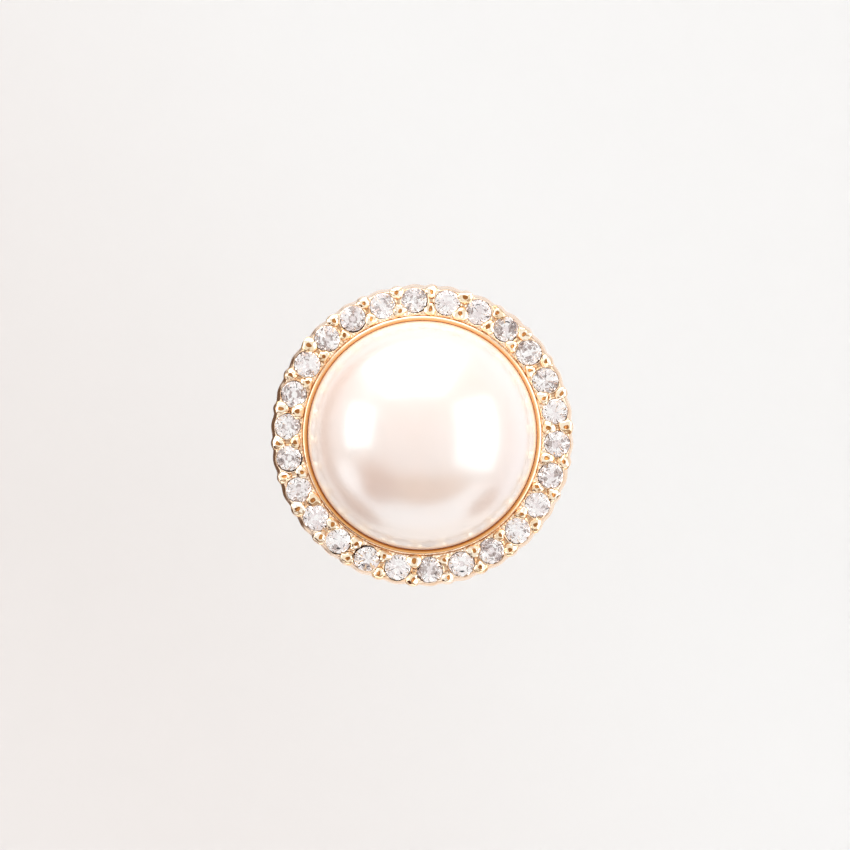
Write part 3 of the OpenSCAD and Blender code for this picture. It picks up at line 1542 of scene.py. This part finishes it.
def patch(colour: Colour, way: Point, inner: float, outer: float) -> Zone:
    """A round soft patch, from its direction and its inner and outer size in degrees."""
    low, high = (math.cos(math.radians(size)) for size in (outer, inner))
    return Zone(colour, (Side(way, low, high),))


ROOM = (
    # The wall behind, the ceiling, the window on the right and the table.
    Zone((1.15, 1.1, 1.06), (Side(BACK, 0.45, 0.65),)),
    Zone(
        (1.02, 1.07, 1.17),
        (Side(UP, 0.1, 0.6), Side(BACK, -0.1, 0.15), Side(RIGHT, -0.9, -0.55)),
    ),
    Zone((1.2, 1.27, 1.38), (Side(RIGHT, 0.4, 0.9), Side(BACK, -0.1, 0.15))),
    Zone(
        (1.65, 1.68, 1.74),
        (Side(UP, -0.55, -0.7), Side(BACK, -0.34, -0.22)),
        rear=(1.4, 1.32, 1.26),
    ),
    # A brown band round the sides, a brown line on the left and the table's dark front.
    Zone(
        (0.22, 0.12, 0.06),
        (
            Side((0.13, 1.0, 0.0), 0.05, 0.25),
            Side((0.13, 1.0, 0.0), 0.5, 0.36),
            Side(UP, -0.9, -0.65),
            Side((-0.8, 0.0, -0.3), -0.8, 0.6, 0.2, 0.9),
        ),
    ),
    Zone(
        BROWN,
        (
            Side(BACK, 0.74, 0.85),
            Side(RIGHT, -0.06, -0.22),
            Side(UP, 0.28, 0.16),
            Side(UP, -0.32, -0.18),
        ),
    ),
    Zone((0.50, 0.36, 0.26), (Side(UP, -0.56, -0.7), Side(BACK, -0.26, -0.38))),
    # Dark and pale things in the room, and the wall in front.
    patch((0.07, 0.01, 0.0), (-0.64, -0.35, -0.68), 13.0, 25.0),
    patch(BROWN, (-0.60, 0.38, -0.70), 8.0, 18.0),
    patch(BROWN, (0.66, 0.22, -0.72), 6.0, 15.0),
    patch((2.0, 2.0, 2.05), (-0.87, 0.02, -0.49), 8.0, 16.0),
    patch((1.3, 1.3, 1.3), (-0.68, -0.27, 0.68), 8.0, 17.0),
    Zone((1.0, 1.05, 1.09), (Side(BACK, -0.7, -0.9),)),
)


@dataclass(frozen=True)
class Studio:
    """Pale floor and wall, soft boxes, pale surroundings and the camera, in metres."""

    floor: float = -0.16
    floor_rows: Pair = (0.08, 0.2)
    reach: float = 0.42
    bend: float = 0.14
    bend_steps: int = 12
    wall: float = 0.62
    segments: int = 96
    lens: float = 100.0
    sensor: float = 36.0
    camera: Point = (0.00022, -0.1898, 0.0008)
    pale: Colour = (0.90, 0.90, 0.91)
    lights: tuple[SoftBox, ...] = (
        SoftBox("overhead_box", -23.1, 64.6, 0.465, 0.6, 0.58, 2.3, level=True),
        SoftBox("left_box", -66.0, 7.5, 0.55, 0.33, 0.36, 2.15),
        SoftBox("right_box", 58.0, 1.0, 0.55, 0.5, 0.67, 1.8),
    )

    def _backdrop(self) -> None:
        """Adds the floor and the wall as one smooth bowl round the part."""
        inner = self.reach - self.bend
        profile = [(radius, self.floor) for radius in (*self.floor_rows, inner)]
        for k in range(1, self.bend_steps + 1):
            down, out, _ = polar(self.bend, math.pi / 2.0 * k / self.bend_steps)
            profile.append((inner + out, self.floor + self.bend - down))
        profile.append((self.reach, self.wall))
        rows = [circle_points(r / MM, self.segments, z / MM) for r, z in profile]
        draft = Draft()
        draft.loft(rows, (0.0, 0.0, self.floor / MM), None)
        bowl = draft.build("paper_bowl")
        bowl.data.materials.append(StudioPaper().material())
        smoothed(bowl.data)
        bowl.visible_glossy = False
        bowl.visible_transmission = False
        bowl.visible_shadow = False

    def _surroundings(self) -> None:
        """Sets the room that the part mirrors, zone by zone."""
        world = bpy.data.worlds.new("pale_room")
        world.use_nodes = True
        graph = Graph(world.node_tree)
        way = graph.add("ShaderNodeTexCoord", out="Generated")
        tone: Value | Colour = self.pale
        for zone in ROOM:
            tone = zone.lay(graph, way, tone)
        shader = graph.add("ShaderNodeBackground", {}, {"Color": tone})
        graph.add("ShaderNodeOutputWorld", {}, {"Surface": shader})
        bpy.context.scene.world = world

    def _camera(self) -> None:
        """Adds the camera, looking straight at the face."""
        data = bpy.data.cameras.new("camera")
        data.lens = self.lens
        data.sensor_width = self.sensor
        data.clip_start = 0.01
        camera = place_in_scene("camera", data)
        camera.location = self.camera
        camera.rotation_euler = (math.pi / 2.0, 0.0, 0.0)
        bpy.context.scene.camera = camera

    def build(self, face: FaceFrame) -> None:
        """Makes the studio.

        Args:
            face: Where the face lies that the lights are aimed at.
        """
        self._backdrop()
        self._surroundings()
        for light in self.lights:
            light.build(Vector((0.0, face.y, 0.0)))
        self._camera()
        bpy.context.scene.view_settings.view_transform = "Standard"


def main() -> None:
    """Builds the earring's pieces and the studio in order."""
    logging.basicConfig(level=logging.INFO, format="%(name)s %(message)s")
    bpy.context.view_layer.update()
    face = FaceFrame()
    ring = RingPattern(face)
    # Along with its bands, the ring's gold takes the painted shade of its outer wall.
    ring_gold = GoldPlate(
        "ring_gold",
        # Painted shade in the ring's recesses.
        recess_shade_share=0.8,
        # Painted shade as veins in the ring's low places.
        vein_shade=0.65,
        # Painted light and shade at the bezel: an orange painted reflection at its top and painted
        # shade in the gap at the pearl, both darker on the ring's lower side.
        bands=(
            PaintedLightBand(9.25, (0.84, 0.41, 0.14), (0.97, 0.64, 0.37)),
            PaintedLightBand(9.13, (0.54, 0.24, 0.075), (0.80, 0.43, 0.17), share=0.8),
        ),
        relief_behind=0.15,
    )
    bead_gold = GoldPlate(
        "bead_gold",
        colour=(0.93, 0.72, 0.48),
        rubbed=(0.98, 0.86, 0.70),
        # Painted shade at the beads' feet, where they meet the face.
        recess_shade=(0.68, 0.38, 0.15),
        recess_shade_span=(-5.76, -5.64),
        recess_shade_share=0.85,
        roughness=0.1,
        spread=0.1,
    ).material()
    # Painted shade and dark reflection: the beads' pits are dark brown.
    pit_shade_gold = GoldPlate(
        "pit_shade_gold",
        colour=(0.36, 0.13, 0.035),
        rubbed=(0.60, 0.25, 0.07),
        roughness=0.2,
        spread=0.1,
    ).material()
    # Painted shade in the seats, seen in the gaps round the stones.
    seat_shade_gold = GoldPlate(
        "seat_shade_gold", colour=(0.84, 0.52, 0.26), rubbed=(0.92, 0.66, 0.42), roughness=0.35
    )
    Setting().build(ring, ring_gold, seat_shade_gold)
    for row in (
        BeadRow("inner_beads", 9.86, 0.52, 0.11, 1.1, 0.34, seed=11),
        BeadRow("outer_beads", 11.25, 0.51, -0.11, 1.12, 0.33, seed=23),
    ):
        row.build(ring, bead_gold, pit_shade_gold)
    CutStones().build(ring, CutGlass(), SilverFoil())
    HalfPearl().build(face, PearlCoat())
    satin_gold = GoldPlate(
        "satin_gold",
        colour=(0.88, 0.66, 0.46),
        rubbed=(0.90, 0.71, 0.53),
        roughness=0.28,
        spread=0.1,
        grain=0.3,
        relief=0.002,
    )
    EarClip().build(satin_gold)
    Studio().build(face)


if __name__ == "__main__":
    main()
